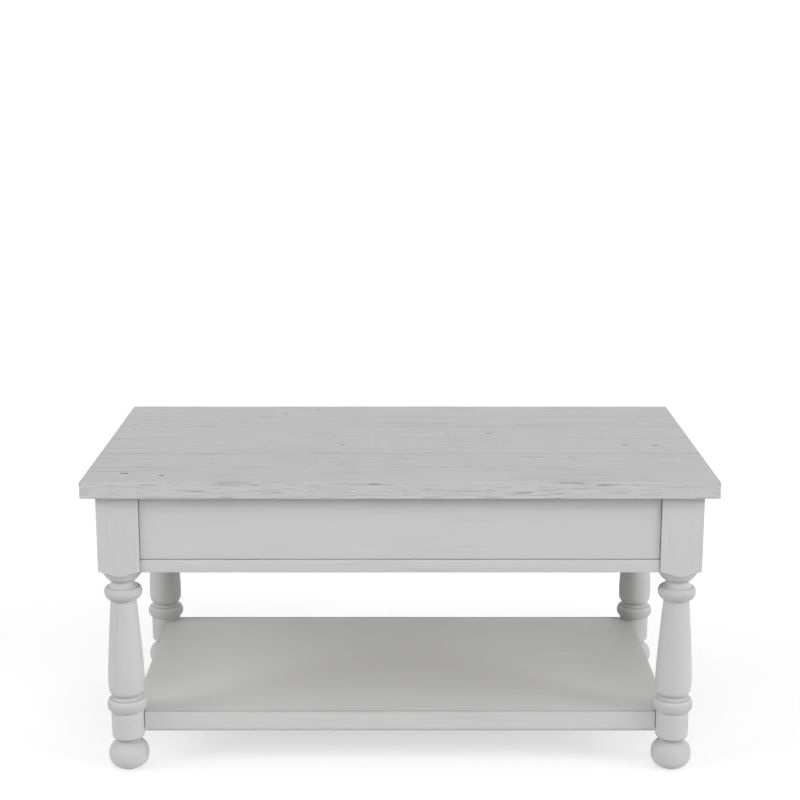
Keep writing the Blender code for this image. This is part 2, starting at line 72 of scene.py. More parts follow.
# Studio
FLOOR_HALF = 36.0
FLOOR_ALBEDO = 0.49
FLOOR_GLOW = 0.592
BOUNCE_ALBEDO = 0.80
BACKDROP_GLOW = 1.05
SKY_STRENGTH = 0.10
LAMPS = (
    # name, azimuth from the front towards the right, elevation, width of the disc, strength.
    # All the strengths but those of left_lamp and right_lamp were fitted to the photo's tones.
    ("front_lamp", 0.0, 50.0, 50.0, 0.822),
    ("right_front_lamp", 35.0, 20.0, 40.0, 0.385),
    ("left_lamp", -67.0, 20.0, 28.0, 1.20),
    ("right_lamp", 67.0, 20.0, 28.0, 1.70),
    ("left_high_lamp", -85.0, 35.0, 40.0, 0.589),
    ("right_side_lamp", 115.0, 18.0, 40.0, 0.28),
    ("left_back_lamp", -145.0, 25.0, 40.0, 0.352),
    ("right_back_lamp", 145.0, 25.0, 40.0, 0.566),
    ("back_lamp", 180.0, 20.0, 40.0, 0.459),
)

# Planks of the lid
BOARD_SPACING = (4.5 * MM, 0.9 * MM, 1.0 * MM)
BOARD_ARRIS = 0.9 * MM
RING_SPACING = 3.4 * MM
BRUSHED_DEPTH = 0.16 * MM
EDGE_CHIP_DEPTH = 0.5 * MM
JOINT_WEAR = 0.6 * MM
CHECK_SCALE = (15.0, 300.0, 300.0)
# How far each check's painted highlight sits from the check
CHECK_HIGHLIGHT_SHIFT = (0.002, 2.6 * MM, 0.0)
TORN_SCALE = (19.0, 200.0, 330.0)
# How far the painted highlight beside the torn grain sits from it
TORN_HIGHLIGHT_SHIFT = (0.001, 0.0, 1.6 * MM)
JOINT_STRENGTH = (0.55, 1.0, 0.45, 0.75, 0.6)
KNOTS = (
    # x and y in metres, radius in millimetres
    (-0.446, -0.223, 6.0), (-0.385, -0.235, 5.0), (-0.157, 0.243, 5.0), (-0.100, -0.030, 4.0),
    (0.156, 0.051, 5.5), (0.387, -0.030, 5.0), (0.437, -0.037, 5.5), (0.285, -0.113, 4.0),
    (0.083, 0.043, 4.0), (-0.215, 0.210, 4.5), (-0.481, 0.120, 4.0),
)

# Painted frame
PANEL_SPACING = 7 * MM
PAINT_WAVE = 0.07 * MM
HIDDEN_ARRIS = 0.4 * MM
FIELD_ARRIS = 0.9 * MM
FIELD_HEIGHT = 4.0 * MM
FIELD_REVEAL = 0.5 * MM
RAIL_ARRIS = 1.2 * MM
RAIL_SAG = 1.5 * MM
LEDGE_HEIGHT = 8.2 * MM
LEDGE_WIDTH = 12 * MM
SHELF_ARRIS = 1.3 * MM
SHELF_LINE_INSET = 3.4 * MM
SHELF_LINE_WIDTH = 4.2 * MM
SHELF_LINE_DEPTH = 0.8 * MM
# Darkness of the painted shade on the middle of the shelf's top
SHELF_MIDDLE_SHADE = 0.16
DRUM_RADIUS = 0.0269
DRUM_CLEARANCE = 1.1 * MM
BLOCK_ARRIS = 1.3 * MM
TURNED_STEPS = 128
LEG_PAINTED_SHADE = (
    # height, half width, darkness: painted shade in the creases and on the beads, and a little on the vase,
    # the drum and the foot
    (0.3300, 2.6 * MM, 0.5), (0.3181, 0.8 * MM, 0.45), (0.3120, 7.0 * MM, 0.20), (0.3050, 6.0 * MM, 0.22),
    (0.2960, 1.2 * MM, 0.5), (0.2125, 100.0 * MM, 0.07), (0.1310, 1.8 * MM, 0.7), (0.1247, 0.8 * MM, 0.45),
    (0.1140, 8.0 * MM, 0.24), (0.1030, 1.5 * MM, 0.5), (0.0800, 24.0 * MM, 0.08), (0.0545, 3.2 * MM, 1.0),
    (0.0340, 14.0 * MM, 0.10),
)

# Lift
ARM_HALF_WIDTH = 10 * MM
EYE_RADIUS = 11.5 * MM
LEVER_EYE_RADIUS = 7 * MM
PLATE_ARRIS = 0.5 * MM
PIN_RADIUS = 4 * MM
PIN_HEAD_RADIUS = 7 * MM
SPRING_PIN_RADIUS = 3 * MM
SPRING_RADIUS = 7 * MM
SPRING_WIRE = 0.9 * MM
SPRING_TURNS = 30
HOOK_STEPS = 14
HOOK_SWEEP = 262  # degrees
HOOK_LENGTH = 16 * MM
TUBE_WALL = 1.5 * MM
BRACKET_PLATE = 2.5 * MM
BASE_SCREW_SHARES = (0.12, 0.40, 0.68)
LID_SCREW_SHARES = (0.06, 0.36, 0.62, 0.95)
BLOCK_SCREW_SHARES = (0.25, 0.75)
BATTEN_SCREW_MARGIN = 14 * MM
SCREW_HEAD_RADIUS = 4.2 * MM
SCREW_HEAD_HEIGHT = 1.5 * MM


# ---- Points, noise and meshes ----

LATTICE_SIZE = 64
LATTICE = np.random.default_rng(11).uniform(-1.0, 1.0, (LATTICE_SIZE,) * 3)


def smooth_step(value, low, high):
    share = np.clip((value - low) / (high - low), 0.0, 1.0)
    return share * share * (3 - 2 * share)


def lattice_noise(points, frequency, shift=0.0):
    """Smooth noise from -1 to 1 at an array of points, with its frequency in cells a metre on each axis."""
    place = points * np.array(frequency, float) + shift
    cell = np.floor(place).astype(int)
    share = smooth_step(place - cell, 0.0, 1.0)
    total = np.zeros(len(points))
    for corner in itertools.product((0, 1), repeat=3):
        weight = np.prod(np.where(corner, share, 1 - share), axis=1)
        index = (cell + np.array(corner)) % LATTICE_SIZE
        total += weight * LATTICE[index[:, 0], index[:, 1], index[:, 2]]
    return total


def grid_lines(low, high, arris, spacing, extra=()):
    """Coordinates across a block, closer together over its two rounded edges."""
    count = max(2, round((high - low - 2 * arris) / spacing) + 1)
    inner = np.linspace(low + arris, high - arris, count)
    edge = arris * (1 - np.cos(np.linspace(0.0, math.pi / 2, 4)))[:-1]
    return np.unique(np.concatenate([low + edge, inner, np.array(extra, float), high - edge]))


def block(low, high, arris, spacing, extra_y=()):
    """A finely divided block with round edges: its points, their outward normals and its faces."""
    low, high = np.array(low, float), np.array(high, float)
    spacing = np.broadcast_to(spacing, 3)
    lines = [grid_lines(low[a], high[a], arris, spacing[a], extra_y if a == 1 else ()) for a in range(3)]
    shape = [len(line) for line in lines]
    quads = []
    for axis in range(3):
        u, v = (axis + 1) % 3, (axis + 2) % 3
        iu, iv = np.meshgrid(np.arange(shape[u] - 1), np.arange(shape[v] - 1), indexing="ij")
        for at, order in ((shape[axis] - 1, ((0, 0), (1, 0), (1, 1), (0, 1))),
                          (0, ((0, 0), (0, 1), (1, 1), (1, 0)))):
            corners = []
            for du, dv in order:
                index = [None, None, None]
                index[axis], index[u], index[v] = np.full(iu.shape, at), iu + du, iv + dv
                corners.append(np.ravel_multi_index(index, shape))
            quads.append(np.stack(corners, -1).reshape(-1, 4))
    used, faces = np.unique(np.concatenate(quads), return_inverse=True)
    index = np.unravel_index(used, shape)
    points = np.column_stack([line[i] for line, i in zip(lines, index)])
    core = np.clip(points, low + arris, high - arris)
    normals = points - core
    normals /= np.linalg.norm(normals, axis=1)[:, None]
    return core + normals * arris, normals, faces.reshape(-1, 4)


def mesh_of(name, parts):
    """One mesh from several (points, faces) parts, smooth over its gentle edges."""
    points, faces, start = [], [], 0
    for part_points, part_faces in parts:
        points.extend(map(tuple, part_points))
        faces.extend([i + start for i in face] for face in part_faces)
        start += len(part_points)
    mesh = bpy.data.meshes.new(name)
    mesh.from_pydata(points, [], faces)
    smooth(mesh)
    return mesh


def smooth(mesh):
    mesh.shade_smooth()
    mesh.set_sharp_from_angle(angle=SMOOTH_ANGLE)


def add_float(mesh, name, values):
    attribute = mesh.attributes.new(name, "FLOAT", "POINT")
    attribute.data.foreach_set("value", np.asarray(values, np.float32))


def new_object(name, mesh):
    obj = bpy.data.objects.new(name, mesh)
    bpy.context.scene.collection.objects.link(obj)
    return obj


def add_piece(name, mesh, material, body, stands_for=()):
    """Shows a mesh as a piece of the table that rides on a body and stands for CAD nodes."""
    mesh.materials.clear()
    mesh.materials.append(material)
    obj = new_object(name, mesh)
    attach(obj, body)
    if stands_for:
        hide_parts(*stands_for)
    return obj


def evaluated_mesh(obj):
    """The object's mesh with its modifiers applied; the object is removed."""
    mesh = bpy.data.meshes.new_from_object(obj.evaluated_get(bpy.context.evaluated_depsgraph_get()))
    mesh.transform(obj.matrix_world)
    bpy.data.objects.remove(obj, do_unlink=True)
    return mesh


def cut(mesh, cutter_mesh, operation):
    """A mesh after an exact Boolean with another."""
    obj, cutter = new_object("cut_blank", mesh), new_object("cutter", cutter_mesh)
    modifier = obj.modifiers.new("cut", "BOOLEAN")
    modifier.operation = operation
    modifier.object = cutter
    result = evaluated_mesh(obj)
    bpy.data.objects.remove(cutter, do_unlink=True)
    return result


def spun(name, section, steps, closed=False):
    """A section of (radius, height) points swept round Z; a closed one joins its last point to its first."""
    bm = bmesh.new()
    verts = [bm.verts.new((radius, 0.0, height)) for radius, height in section]
    after = verts[1:] + verts[:1] if closed else verts[1:]
    edges = [bm.edges.new(pair) for pair in zip(verts, after)]
    bmesh.ops.spin(bm, geom=verts + edges, cent=(0, 0, 0), axis=(0, 0, 1), angle=2 * math.pi, steps=steps,
                   use_merge=True)
    bmesh.ops.remove_doubles(bm, verts=bm.verts, dist=WELD)
    bmesh.ops.recalc_face_normals(bm, faces=bm.faces)
    mesh = bpy.data.meshes.new(name)
    bm.to_mesh(mesh)
    bm.free()
    smooth(mesh)
    return mesh


def turned(name, profile, steps=TURNED_STEPS):
    """A solid of revolution from a profile that runs top to bottom, with radius 0 at both ends."""
    return spun(name, profile, steps)


def parts_of(mesh):
    """A mesh's points and faces, for stamping copies of it."""
    return np.array([v.co for v in mesh.vertices]), [list(p.vertices) for p in mesh.polygons]


def stamped(part, place, direction, turn=0.0):
    """A copy of a part with its +Z along direction, turned about itself, at a place."""
    points, faces = part
    rotation = Vector(direction).to_track_quat("Z", "X").to_matrix() @ Matrix.Rotation(turn, 3, "Z")
    return points @ np.array(rotation).T + np.array(place), faces


# ---- Materials ----

class Finish:
    """A material under construction, with short calls for the nodes that it needs."""

    def __init__(self, name, roughness, specular=0.5, metallic=0.0):
        self.material = bpy.data.materials.new(name)
        self.material.use_nodes = True
        self.tree = self.material.node_tree
        self.shader = self.tree.nodes["Principled BSDF"]
        self.shader.inputs["Roughness"].default_value = roughness
        self.shader.inputs["Specular IOR Level"].default_value = specular
        self.shader.inputs["Metallic"].default_value = metallic

    def node(self, kind, inputs, **settings):
        node = self.tree.nodes.new(kind)
        for key, value in settings.items():
            setattr(node, key, value)
        for key, value in inputs.items():
            if isinstance(value, bpy.types.NodeSocket):
                self.tree.links.new(value, node.inputs[key])
            else:
                node.inputs[key].default_value = value
        return node.outputs[0]

    def place(self, scale, warp=None):
        """The point on the object, stretched by a scale on each axis, and pushed about by a warp."""
        point = self.tree.nodes.new("ShaderNodeTexCoord").outputs["Object"]
        if warp is not None:
            point = self.node("ShaderNodeVectorMath", {0: point, 1: warp}, operation="ADD")
        return self.node("ShaderNodeVectorMath", {0: point, 1: scale}, operation="MULTIPLY")

    def warp(self, scale, amounts):
        """A soft vector noise, in metres on each axis."""
        noise = self.tree.nodes.new("ShaderNodeTexNoise")
        self.tree.links.new(self.place(scale), noise.inputs["Vector"])
        noise.inputs["Scale"].default_value = 1.0
        noise.inputs["Detail"].default_value = 1.0
        centred = self.node("ShaderNodeVectorMath", {0: noise.outputs["Color"], 1: (0.5, 0.5, 0.5)},
                            operation="SUBTRACT")
        return self.node("ShaderNodeVectorMath", {0: centred, 1: amounts}, operation="MULTIPLY")

    def shift(self, warp, offset):
        return self.node("ShaderNodeVectorMath", {0: warp, 1: offset}, operation="ADD")

    def noise(self, vector, detail=2.0, roughness=0.5):
        return self.node("ShaderNodeTexNoise", {"Vector": vector, "Scale": 1.0, "Detail": detail,
                                                "Roughness": roughness})

    def line_noise(self, phase, scale, detail):
        return self.node("ShaderNodeTexNoise", {"W": phase, "Scale": scale, "Detail": detail},
                         noise_dimensions="1D")

    def attribute(self, name):
        node = self.tree.nodes.new("ShaderNodeAttribute")
        node.attribute_name = name
        return node.outputs["Fac"]

    def linear(self, value, low, high, to_low, to_high, **settings):
        return self.node("ShaderNodeMapRange", {"Value": value, "From Min": low, "From Max": high,
                                                "To Min": to_low, "To Max": to_high}, **settings)

    def ramp(self, share, at_zero, at_one):
        """A number that goes from one value to another as a share goes from 0 to 1."""
        return self.linear(share, 0.0, 1.0, at_zero, at_one)

    def between(self, value, low, high, to_low=0.0, to_high=1.0):
        """A smooth step of a value from low to high, as a number from to_low to to_high."""
        return self.linear(value, low, high, to_low, to_high, interpolation_type="SMOOTHSTEP")

    def times(self, one, other):
        return self.node("ShaderNodeMath", {0: one, 1: other}, operation="MULTIPLY")

    def plus(self, one, other):
        return self.node("ShaderNodeMath", {0: one, 1: other}, operation="ADD")

    def colour(self, rgb, brightness):
        """The base colour, as a fixed hue times a varying brightness."""
        mixed = self.node("ShaderNodeVectorMath", {0: rgb, "Scale": brightness}, operation="SCALE")
        self.tree.links.new(mixed, self.shader.inputs["Base Color"])

    def roughness(self, value):
        self.tree.links.new(value, self.shader.inputs["Roughness"])

    def relief(self, height):
        """Bump from a height in metres."""
        normal = self.node("ShaderNodeBump", {"Height": height, "Strength": 1.0, "Distance": 1.0})
        self.tree.links.new(normal, self.shader.inputs["Normal"])


def stretched(axis, along, across):
    """A noise scale with long features on one axis."""
    return tuple(along if a == axis else across for a in range(3))


def brushed_paint(name, rgb, axis):
    """Grey paint over wire-brushed pine: short checks, darkened partly by painted shade, each with a painted
    highlight beside it, and torn grain at the edges with painted highlights beside it.
    """
    f = Finish(name, 0.62, 0.22)
    rings, dark_joints_and_shade, edge, end = (f.attribute(key) for key in ("rings", "dark_joints_and_shade", "edge", "end"))
    top = f.ramp(end, 1.0, 0.0)
    lines = f.between(f.line_noise(rings, 2.2, 2.0), 0.58, 0.66)
    patches = f.between(f.noise(f.place(stretched(axis, 9, 34)), 2.0), 0.50, 0.60)
    streaks = f.times(lines, patches)
    sway = f.warp((5, 11, 11), (0, 0.007, 0.007))
    open_places = f.times(top, f.between(f.noise(f.place((4, 11, 11)), 2.0), 0.42, 0.52))
    # Checks are darkened, partly their own dark and partly painted shade in the crack; beside each, a little
    # shifted, is a painted highlight on the wall that would catch the light.
    checks = f.times(open_places, f.between(f.noise(f.place(CHECK_SCALE, sway), 3.0, 0.6), 0.635, 0.655))
    check_highlights = f.times(open_places, f.between(f.noise(f.place(CHECK_SCALE, f.shift(sway, CHECK_HIGHLIGHT_SHIFT)), 3.0, 0.6),
                                          0.630, 0.655))
    # Long checks, darkened the same way: their own dark and painted shade.
    long_checks = f.between(f.noise(f.place(stretched(axis, 5, 240), sway), 2.0), 0.655, 0.685)
    torn_sway = f.warp((9, 30, 60), (0, 0.004, 0.006))
    torn = f.between(f.noise(f.place(TORN_SCALE, torn_sway), 3.0, 0.6), 0.55, 0.61)
    # A painted highlight beside the torn grain at the edges, a little shifted from it.
    raised = f.between(f.noise(f.place(TORN_SCALE, f.shift(torn_sway, TORN_HIGHLIGHT_SHIFT)), 3.0, 0.6), 0.55, 0.62)
    end_rings = f.between(f.line_noise(rings, 1.1, 1.0), 0.40, 0.60)
    pores = f.between(f.noise(f.place((200, 900, 900)), 2.0), 0.58, 0.72)
    end_light = f.plus(f.ramp(end_rings, 0.99, 0.90), f.ramp(pores, 0.0, -0.07))
    bristle = f.noise(f.place(stretched(axis, 22, 750)), 2.0)
    cloud = f.noise(f.place((5, 14, 14)), 2.0)
    light = f.plus(f.ramp(streaks, 1.0, 0.965), f.ramp(checks, 0.0, -0.50))
    # The painted highlights beside the checks, fainter on the edge faces.
    light = f.plus(light, f.times(f.ramp(edge, 1.0, 0.15), f.ramp(check_highlights, 0.0, 0.34)))
    light = f.plus(light, f.ramp(long_checks, 0.0, -0.26))
    light = f.plus(light, f.linear(bristle, 0.3, 0.7, -0.007, 0.007))
    light = f.plus(light, f.linear(cloud, 0.3, 0.7, -0.004, 0.004))
    # The long edge faces are lightened overall, painted light for the light they catch, darkened in the torn
    # grain, and given its painted highlights.
    edge_marks_and_painted_light = f.plus(f.ramp(torn, 1.065, 0.89), f.ramp(raised, 0.0, 0.07))
    light = f.times(light, f.plus(f.ramp(edge, 1.0, 0.0), f.times(edge, edge_marks_and_painted_light)))
    light = f.times(light, f.plus(top, f.times(end, end_light)))
    # A painted highlight along the upper arris of the long edges and the ends, where the arris attribute is
    # set.
    light = f.plus(light, f.times(f.attribute("arris"), f.linear(cloud, 0.35, 0.6, -0.02, 0.12)))
    ragged = f.plus(f.attribute("knot"),
                    f.linear(f.noise(f.place((160, 260, 260)), 2.0), 0.3, 0.7, -0.2, 0.2))
    ring = f.times(f.between(ragged, 0.35, 0.50), f.between(ragged, 0.90, 1.00, 1.0, 0.0))
    # Round each knot, one side of the ring is darkened, partly the knot's own dark and partly painted shade,
    # and the other side has a pale rim, a painted highlight.
    knot_dark_and_shade = f.times(ring, f.between(f.attribute("knot_side"), 0.0, 0.5))
    knot_rim_highlight = f.times(f.times(f.between(ragged, 0.9, 1.05), f.between(ragged, 1.25, 1.5, 1.0, 0.0)),
                  f.between(f.attribute("knot_side"), 0.0, 0.5, 1.0, 0.0))
    light = f.times(light, f.plus(f.ramp(knot_dark_and_shade, 1.0, 0.12), f.ramp(knot_rim_highlight, 0.0, 0.12)))
    light = f.times(light, f.ramp(dark_joints_and_shade, 1.0, 0.60))
    f.colour(rgb, light)
    f.roughness(f.ramp(streaks, 0.58, 0.74))
    height = f.plus(f.ramp(streaks, 0.0, -0.15 * MM), f.ramp(checks, 0.0, -0.35 * MM))
    height = f.plus(height, f.times(edge, f.ramp(torn, 0.0, -0.15 * MM)))
    height = f.plus(height, f.times(end, f.ramp(end_rings, 0.0, -0.2 * MM)))
    f.relief(f.plus(height, f.ramp(bristle, 0.0, 0.03 * MM)))
    return f.material


def smooth_paint(name, rgb, axis):
    """Satin paint brushed along the wood, with a little of the grain telegraphing through."""
    f = Finish(name, 0.56, 0.25)
    sway = f.warp(stretched(axis, 3, 12), (0.004, 0.004, 0.004))
    grain = f.between(f.noise(f.place(stretched(axis, 5, 130), sway), 3.0), 0.57, 0.74)
    pale = f.between(f.noise(f.place(stretched(axis, 6, 95), (0.3, 0.7, 0.2)), 2.0), 0.62, 0.76)
    brush = f.noise(f.place(stretched(axis, 14, 520)), 2.0)
    cloud = f.noise(f.place(stretched(axis, 6, 22)), 2.0)
    light = f.plus(f.ramp(grain, 1.0, 0.945), f.ramp(pale, 0.0, 0.025))
    light = f.plus(light, f.linear(brush, 0.3, 0.7, -0.010, 0.010))
    light = f.plus(light, f.linear(cloud, 0.3, 0.7, -0.016, 0.016))
    # Darker where the mesh's attribute says: painted shade on the legs and on the shelf, and the dark line
    # where the shelf's edgings meet its panel.
    light = f.times(light, f.ramp(f.attribute("dark_joints_and_shade"), 1.0, 0.55))
    f.colour(rgb, light)
    f.roughness(f.linear(cloud, 0.3, 0.7, 0.50, 0.62))
    height = f.plus(f.ramp(grain, 0.0, -0.12 * MM), f.ramp(brush, 0.0, 0.02 * MM))
    f.relief(height)
    return f.material


def bare_wood(name, rgb, axis):
    """Sanded wood under a thin wash, with its figure showing."""
    f = Finish(name, 0.72, 0.2)
    sway = f.warp(stretched(axis, 2, 8), (0.012, 0.012, 0.012))
    figure = f.noise(f.place(stretched(axis, 3, 90), sway), 4.0, 0.6)
    pores = f.between(f.noise(f.place(stretched(axis, 30, 900)), 1.0), 0.60, 0.75)
    light = f.plus(f.linear(figure, 0.3, 0.7, 0.90, 1.06), f.ramp(pores, 0.0, -0.10))
    f.colour(rgb, light)
    f.roughness(f.linear(figure, 0.3, 0.7, 0.66, 0.80))
    f.relief(f.ramp(pores, 0.0, -0.06 * MM))
    return f.material


def powder_coat(name, rgb):
    """Black powder coat with its fine orange peel and a few rubbed patches."""
    f = Finish(name, 0.45, 0.5)
    peel = f.noise(f.place((900, 900, 900)), 2.0)
    rubbed = f.between(f.noise(f.place((35, 35, 35)), 3.0), 0.55, 0.75)
    f.colour(rgb, f.ramp(rubbed, 1.0, 1.5))
    f.roughness(f.ramp(rubbed, 0.50, 0.36))
    f.relief(f.ramp(peel, 0.0, 0.05 * MM))
    return f.material


def plated(name, rgb, roughness):
    """Plated or drawn steel, with faint turning marks and dull patches."""
    f = Finish(name, roughness, 0.5, 1.0)
    dull = f.noise(f.place((60, 60, 60)), 3.0)
    marks = f.noise(f.place((2600, 300, 2600)), 1.0)
    f.colour(rgb, f.linear(dull, 0.3, 0.7, 0.86, 1.05))
    f.roughness(f.linear(dull, 0.3, 0.7, roughness - 0.07, roughness + 0.12))
    f.relief(f.ramp(marks, 0.0, 0.01 * MM))
    return f.material


def pressed_felt(name, rgb):
    f = Finish(name, 0.95, 0.1)
    fibres = f.noise(f.place((1400, 1400, 900)), 3.0, 0.7)
    f.shader.inputs["Sheen Weight"].default_value = 0.4
    f.colour(rgb, f.linear(fibres, 0.3, 0.7, 0.75, 1.2))
    f.relief(f.ramp(fibres, 0.0, 0.2 * MM))
    return f.material


def moulded_nylon(name, rgb):
    f = Finish(name, 0.5, 0.4)
    scuffs = f.between(f.noise(f.place((240, 240, 240)), 3.0), 0.5, 0.7)
    f.colour(rgb, f.ramp(scuffs, 1.0, 1.35))
    f.roughness(f.ramp(scuffs, 0.46, 0.66))
    f.relief(f.ramp(scuffs, 0.0, -0.03 * MM))
    return f.material


LID_PAINT = brushed_paint("brushed_paint", (0.493, 0.493, 0.493), 0)
PAINT = {axis: smooth_paint(f"satin_paint_{letter}", (albedo,) * 3, axis)
         for axis, (letter, albedo) in enumerate((("x", 0.543), ("y", 0.538), ("z", 0.543)))}
# The shelf gets the frame's satin paint made a little lighter: painted light against the shade that it sits
# in.
LIGHTER_SHELF_PAINT = smooth_paint("satin_paint_shelf_lightened", (0.56, 0.56, 0.56), 0)
INNER = {axis: bare_wood(f"washed_wood_{letter}", (0.50, 0.485, 0.45), axis)
         for axis, letter in enumerate("xyz")}
BLACK_STEEL = powder_coat("powder_coat", (0.028, 0.028, 0.030))
PIN_STEEL = plated("zinc_plate", (0.66, 0.66, 0.68), 0.32)
SPRING_STEEL = plated("spring_wire", (0.42, 0.42, 0.44), 0.36)
FELT = pressed_felt("pressed_felt", (0.30, 0.30, 0.30))
NYLON = moulded_nylon("moulded_nylon", (0.11, 0.11, 0.11))


# ---- Lid ----

def knot_swell(points):
    """How far the rings bow out round the knots, the distance from the nearest in radii, and its side."""
    swell, side = np.zeros(len(points)), np.zeros(len(points))
    knot = np.full(len(points), 3.0)
    for x, y, size in KNOTS:
        radius = size * MM
        along = (points[:, 0] - x) / (2.6 * radius)
        across = (points[:, 1] - y) / radius
        swell += 1.5 * radius * np.exp(-np.hypot(along, across) ** 2) * np.sign(across + 0.2)
        distance = np.hypot(1.7 * along, across)
        nearer = distance < knot
        knot = np.where(nearer, distance, knot)
        side = np.where(nearer, across + 0.8 * along, side)
    return swell, knot, side


def ring_phase(points, number, centre_y, swell):
    """Growth rings of a flat-sawn board: the distance from a pith that wanders below it, in rings."""
    line = np.column_stack([points[:, 0], np.full(len(points), 3.7 * number), np.zeros(len(points))])
    wander = 9 * MM * lattice_noise(line, (4.5, 1, 1)) + 1.6 * MM * lattice_noise(line, (19, 1, 1), 5.0)
    pith_y = centre_y + (-1) ** number * 14 * MM
    sideways = points[:, 1] - pith_y - wander - (-1) ** number * 0.025 * points[:, 0]
    depth = points[:, 2] - LID_LOW - 10 * MM + (52 + 6 * (number % 3)) * MM
    ripple = 0.9 * MM * lattice_noise(points, (9, 50, 50), 1.3 * number)
    return (np.hypot(sideways, depth) + ripple + swell) / RING_SPACING


def open_grain(phase, points, number):
    """How far brushing has opened the grain, from 0 to 1: each ring has its own hardness."""
    ring = np.floor(phase).astype(int)
    hardness = LATTICE[ring % LATTICE_SIZE, number, 7] * 0.5 + 0.5
    within = phase - ring
    soft = smooth_step(within, 0.35, 0.75) * (1 - smooth_step(within, 0.80, 1.0))
    patches = smooth_step(lattice_noise(points, (6, 45, 45), 2.1 * number), -0.25, 0.45)
    return soft * hardness ** 2 * patches


def make_board(number, joints):
    node = f"lid_board_{number}"
    low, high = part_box(node)
    points, normals, faces = block(low, high, BOARD_ARRIS, BOARD_SPACING)
    swell, knot, side = knot_swell(points)
    phase = ring_phase(points, number, (low.y + high.y) / 2, swell)
    grain = open_grain(phase, points, number)

    # The long outer edges and the ends are chipped and wavy under the brush.
    outer = np.maximum(np.abs(normals[:, 1]) * (np.abs(points[:, 1]) > LID_HIGH_Y - 2 * MM),
                       np.abs(normals[:, 0]))
    lens = smooth_step(lattice_noise(points, (20, 210, 300), 9.0), 0.15, 0.65)
    wave = lattice_noise(points, (8, 60, 90), 4.0)
    chips = outer * (EDGE_CHIP_DEPTH * lens + 0.25 * MM * (1 + wave))

    # Each joint is worn open by its own amount, which comes and goes along the board.
    dark_joints_and_shade = np.zeros(len(points))
    worn = np.zeros(len(points))
    for y, strength in joints:
        line = np.column_stack([points[:, 0], np.full(len(points), 50 * y), np.zeros(len(points))])
        come_and_go = smooth_step(lattice_noise(line, (5, 1, 1), 2.0) + 1.3 * strength - 0.9, -0.35, 0.35)
        near = 1 - smooth_step(np.abs(points[:, 1] - y), 0.2 * MM, 2.4 * MM)
        top = smooth_step(points[:, 2], LID_HIGH - 4 * MM, LID_HIGH - 1.5 * MM)
        worn = np.maximum(worn, near * top * JOINT_WEAR * strength * come_and_go)
        tight = 1 - smooth_step(np.abs(points[:, 1] - y), 0.3 * MM, 1.6 * MM)
        dark_joints_and_shade = np.maximum(dark_joints_and_shade, tight * strength * (0.35 + 0.65 * come_and_go))

    depth = BRUSHED_DEPTH * grain + 0.07 * MM * (1 + lattice_noise(points, (5, 22, 22), 6.0))
    depth += chips
    moved = points - normals * depth[:, None]
    moved[:, 2] -= worn
    mesh = mesh_of(f"plank_{number}", [(moved, faces.tolist())])
    add_float(mesh, "rings", phase + 40 * number)
    dark = np.maximum.reduce([dark_joints_and_shade, 0.10 * grain, 0.16 * lens * outer])
    add_float(mesh, "dark_joints_and_shade", np.clip(dark, 0.0, 1.0))
    add_float(mesh, "knot", np.where(normals[:, 2] > 0.5, knot, 3.0))
    # knot_side: which side of its knot a point lies, for the painted shade and the painted highlight round
    # the knots
    add_float(mesh, "knot_side", side)
    add_float(mesh, "edge", smooth_step(outer, 0.5, 0.9) * (np.abs(normals[:, 0]) < 0.5))
    add_float(mesh, "end", smooth_step(np.abs(normals[:, 0]), 0.4, 0.8))
    # arris: where the painted highlight runs along the upper arris of the outer edges
    add_float(mesh, "arris", smooth_step(outer, 0.1, 0.4) * smooth_step(normals[:, 2], 0.2, 0.6))
    add_piece(f"plank_{number}", mesh, LID_PAINT, "lid", [node])


def make_planks():
    joints = [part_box(f"lid_board_{n}")[1].y + GAP / 2 for n in range(1, BOARD_COUNT)]
    for number in range(1, BOARD_COUNT + 1):
        own = [joint for n, joint in enumerate(zip(joints, JOINT_STRENGTH), 1) if n in (number - 1, number)]
        make_board(number, own)


# ---- Legs ----

def bulge(z_high, r_high, z_low, r_low, r_widest, count=20):
    """A convex turning between two heights: half an ellipse, out from the line joining its ends."""
    points = []
    middle, half = (z_high + z_low) / 2, (z_high - z_low) / 2
    for i in range(count + 1):
        angle = math.pi * i / count
        height = math.cos(angle)
        out = math.sin(angle) if 0 < i < count else 0.0
        base = r_high + (r_low - r_high) * (1 - height) / 2
        points.append((base + (r_widest - (r_high + r_low) / 2) * out, middle + half * height))
    return points


def curve_through(points, count=8):
    """A smooth run through a few (radius, height) points."""
    padded = [points[0], *points, points[-1]]
    result = [points[0]]
    for before, start, end, after in zip(padded, padded[1:], padded[2:], padded[3:]):
        for i in range(1, count + 1):
            t = i / count
            result.append(tuple(
                0.5 * (2 * b + (c - a) * t + (2 * a - 5 * b + 4 * c - d) * t * t
                       + (3 * b - a - 3 * c + d) * t ** 3)
                for a, b, c, d in zip(before, start, end, after)))
    return result


